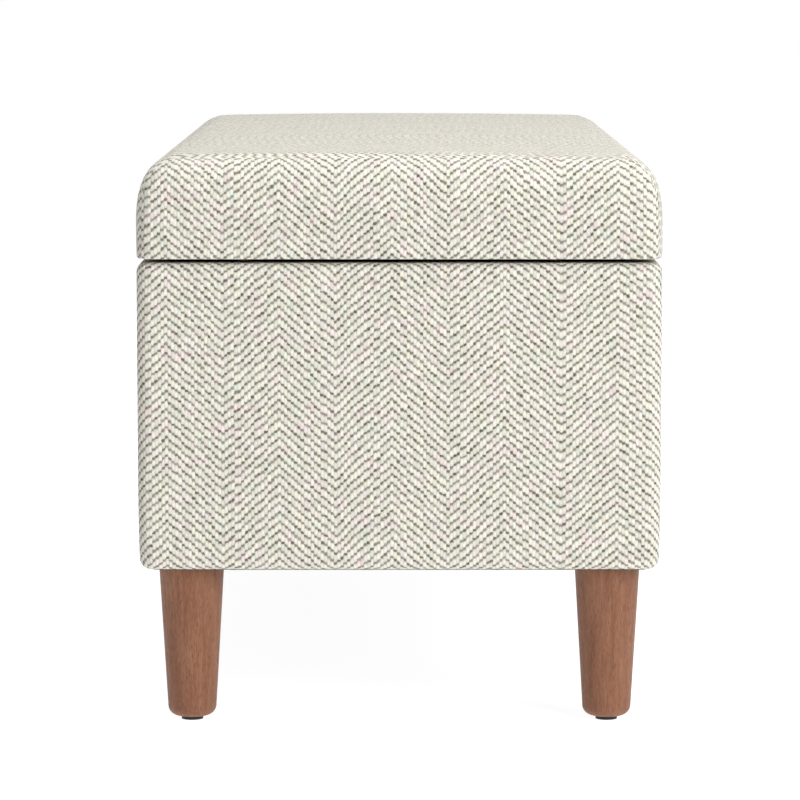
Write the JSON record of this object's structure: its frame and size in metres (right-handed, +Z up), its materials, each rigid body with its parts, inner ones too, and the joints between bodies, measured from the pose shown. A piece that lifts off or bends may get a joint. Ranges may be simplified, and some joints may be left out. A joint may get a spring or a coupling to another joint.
{
  "type": "storage ottoman",
  "caption": "Long upholstered storage bench ottoman: fabric-covered box on tapered round wooden legs, cushioned lid on rear hinges held open by gas struts.",
  "frame": {"origin": "on the floor, under the middle of the upholstered body", "axes": "+X along the length, -Y towards the side that the lid opens on, +Y towards the hinges, +Z up"},
  "size_m": [0.902, 0.4127, 0.446],
  "materials": {
    "upholstery": "cream and taupe herringbone weave",
    "padding": "polyester wadding",
    "foam": "open-cell foam",
    "lining": "plain woven lining",
    "dust_cloth": "spun-bonded dust cover",
    "panel_board": "particle board",
    "plywood": "plywood",
    "rail_wood": "sawn softwood",
    "leg_wood": "stained and lacquered open-pore hardwood",
    "glide_nylon": "moulded nylon",
    "fastener_steel": "zinc plated",
    "hinge_steel": "zinc plated, pressed",
    "bracket_steel": "black powder coat",
    "tube_paint": "black satin paint",
    "rod_chrome": "ground and chromed",
    "socket_plastic": "glass-filled nylon",
    "bumper_rubber": "moulded rubber"
  },
  "bodies": {
    "box": {"front_panel": "panel_board", "back_panel": "panel_board", "left_end_panel": "panel_board", "right_end_panel": "panel_board", "floor_panel": "plywood", "floor_rails": "rail_wood", "cross_brace": "rail_wood", "corner_blocks": "rail_wood", "front_padding": "padding", "back_padding": "padding", "left_end_padding": "padding", "right_end_padding": "padding", "body_cover": "upholstery", "lining_walls": "lining", "lining_floor": "lining", "body_dust_cover": "dust_cloth", "panel_screws": "fastener_steel", "rail_screws": "fastener_steel", "body_staples": "fastener_steel", "tee_nuts": "fastener_steel", "hanger_bolts": "fastener_steel", "leg_front_left": "leg_wood", "leg_front_right": "leg_wood", "leg_back_left": "leg_wood", "leg_back_right": "leg_wood", "glide_front_left": "glide_nylon", "glide_front_right": "glide_nylon", "glide_back_left": "glide_nylon", "glide_back_right": "glide_nylon", "hinge_left_body_leaf": "hinge_steel", "hinge_right_body_leaf": "hinge_steel", "hinge_left_pin": "hinge_steel", "hinge_right_pin": "hinge_steel", "hinge_body_screws": "fastener_steel", "strut_left_body_bracket": "bracket_steel", "strut_right_body_bracket": "bracket_steel", "strut_body_screws": "fastener_steel"},
    "lid": {"lid_board": "plywood", "lid_foam": "foam", "lid_cover": "upholstery", "lid_dust_cover": "dust_cloth", "lid_staples": "fastener_steel", "lid_bumpers": "bumper_rubber", "hinge_left_lid_leaf": "hinge_steel", "hinge_right_lid_leaf": "hinge_steel", "hinge_lid_screws": "fastener_steel", "strut_left_lid_bracket": "bracket_steel", "strut_right_lid_bracket": "bracket_steel", "strut_lid_screws": "fastener_steel"},
    "strut_tube_left": {"strut_left_tube": "tube_paint", "strut_left_tube_end": "socket_plastic"},
    "strut_tube_right": {"strut_right_tube": "tube_paint", "strut_right_tube_end": "socket_plastic"},
    "strut_rod_left": {"strut_left_rod": "rod_chrome", "strut_left_rod_end": "socket_plastic"},
    "strut_rod_right": {"strut_right_rod": "rod_chrome", "strut_right_rod_end": "socket_plastic"}
  },
  "joints": [
    {"name": "lid_hinge", "type": "hinge", "parent": "box", "child": "lid", "pos_m": [0, 0.2065, 0.3635], "axis": [-1, 0, 0], "range_deg": [0, 85]},
    {"name": "strut_tube_left_pivot", "type": "hinge", "parent": "box", "child": "strut_tube_left", "pos_m": [-0.412, 0.15635, 0.19063], "axis": [-1, 0, 0], "range_deg": [0, 42.5]},
    {"name": "strut_rod_left_pivot", "type": "hinge", "parent": "lid", "child": "strut_rod_left", "pos_m": [-0.412, 0.0269, 0.3515], "axis": [-1, 0, 0], "range_deg": [-42.5, 0]},
    {"name": "strut_tube_right_pivot", "type": "hinge", "parent": "box", "child": "strut_tube_right", "pos_m": [0.412, 0.15635, 0.19063], "axis": [-1, 0, 0], "range_deg": [0, 42.5]},
    {"name": "strut_rod_right_pivot", "type": "hinge", "parent": "lid", "child": "strut_rod_right", "pos_m": [0.412, 0.0269, 0.3515], "axis": [-1, 0, 0], "range_deg": [-42.5, 0]}
  ],
  "couplings": [
    {"joint": "strut_tube_left_pivot", "follows": "lid_hinge", "ratio": 0.5},
    {"joint": "strut_rod_left_pivot", "follows": "lid_hinge", "ratio": -0.5},
    {"joint": "strut_tube_right_pivot", "follows": "lid_hinge", "ratio": 0.5},
    {"joint": "strut_rod_right_pivot", "follows": "lid_hinge", "ratio": -0.5}
  ]
}
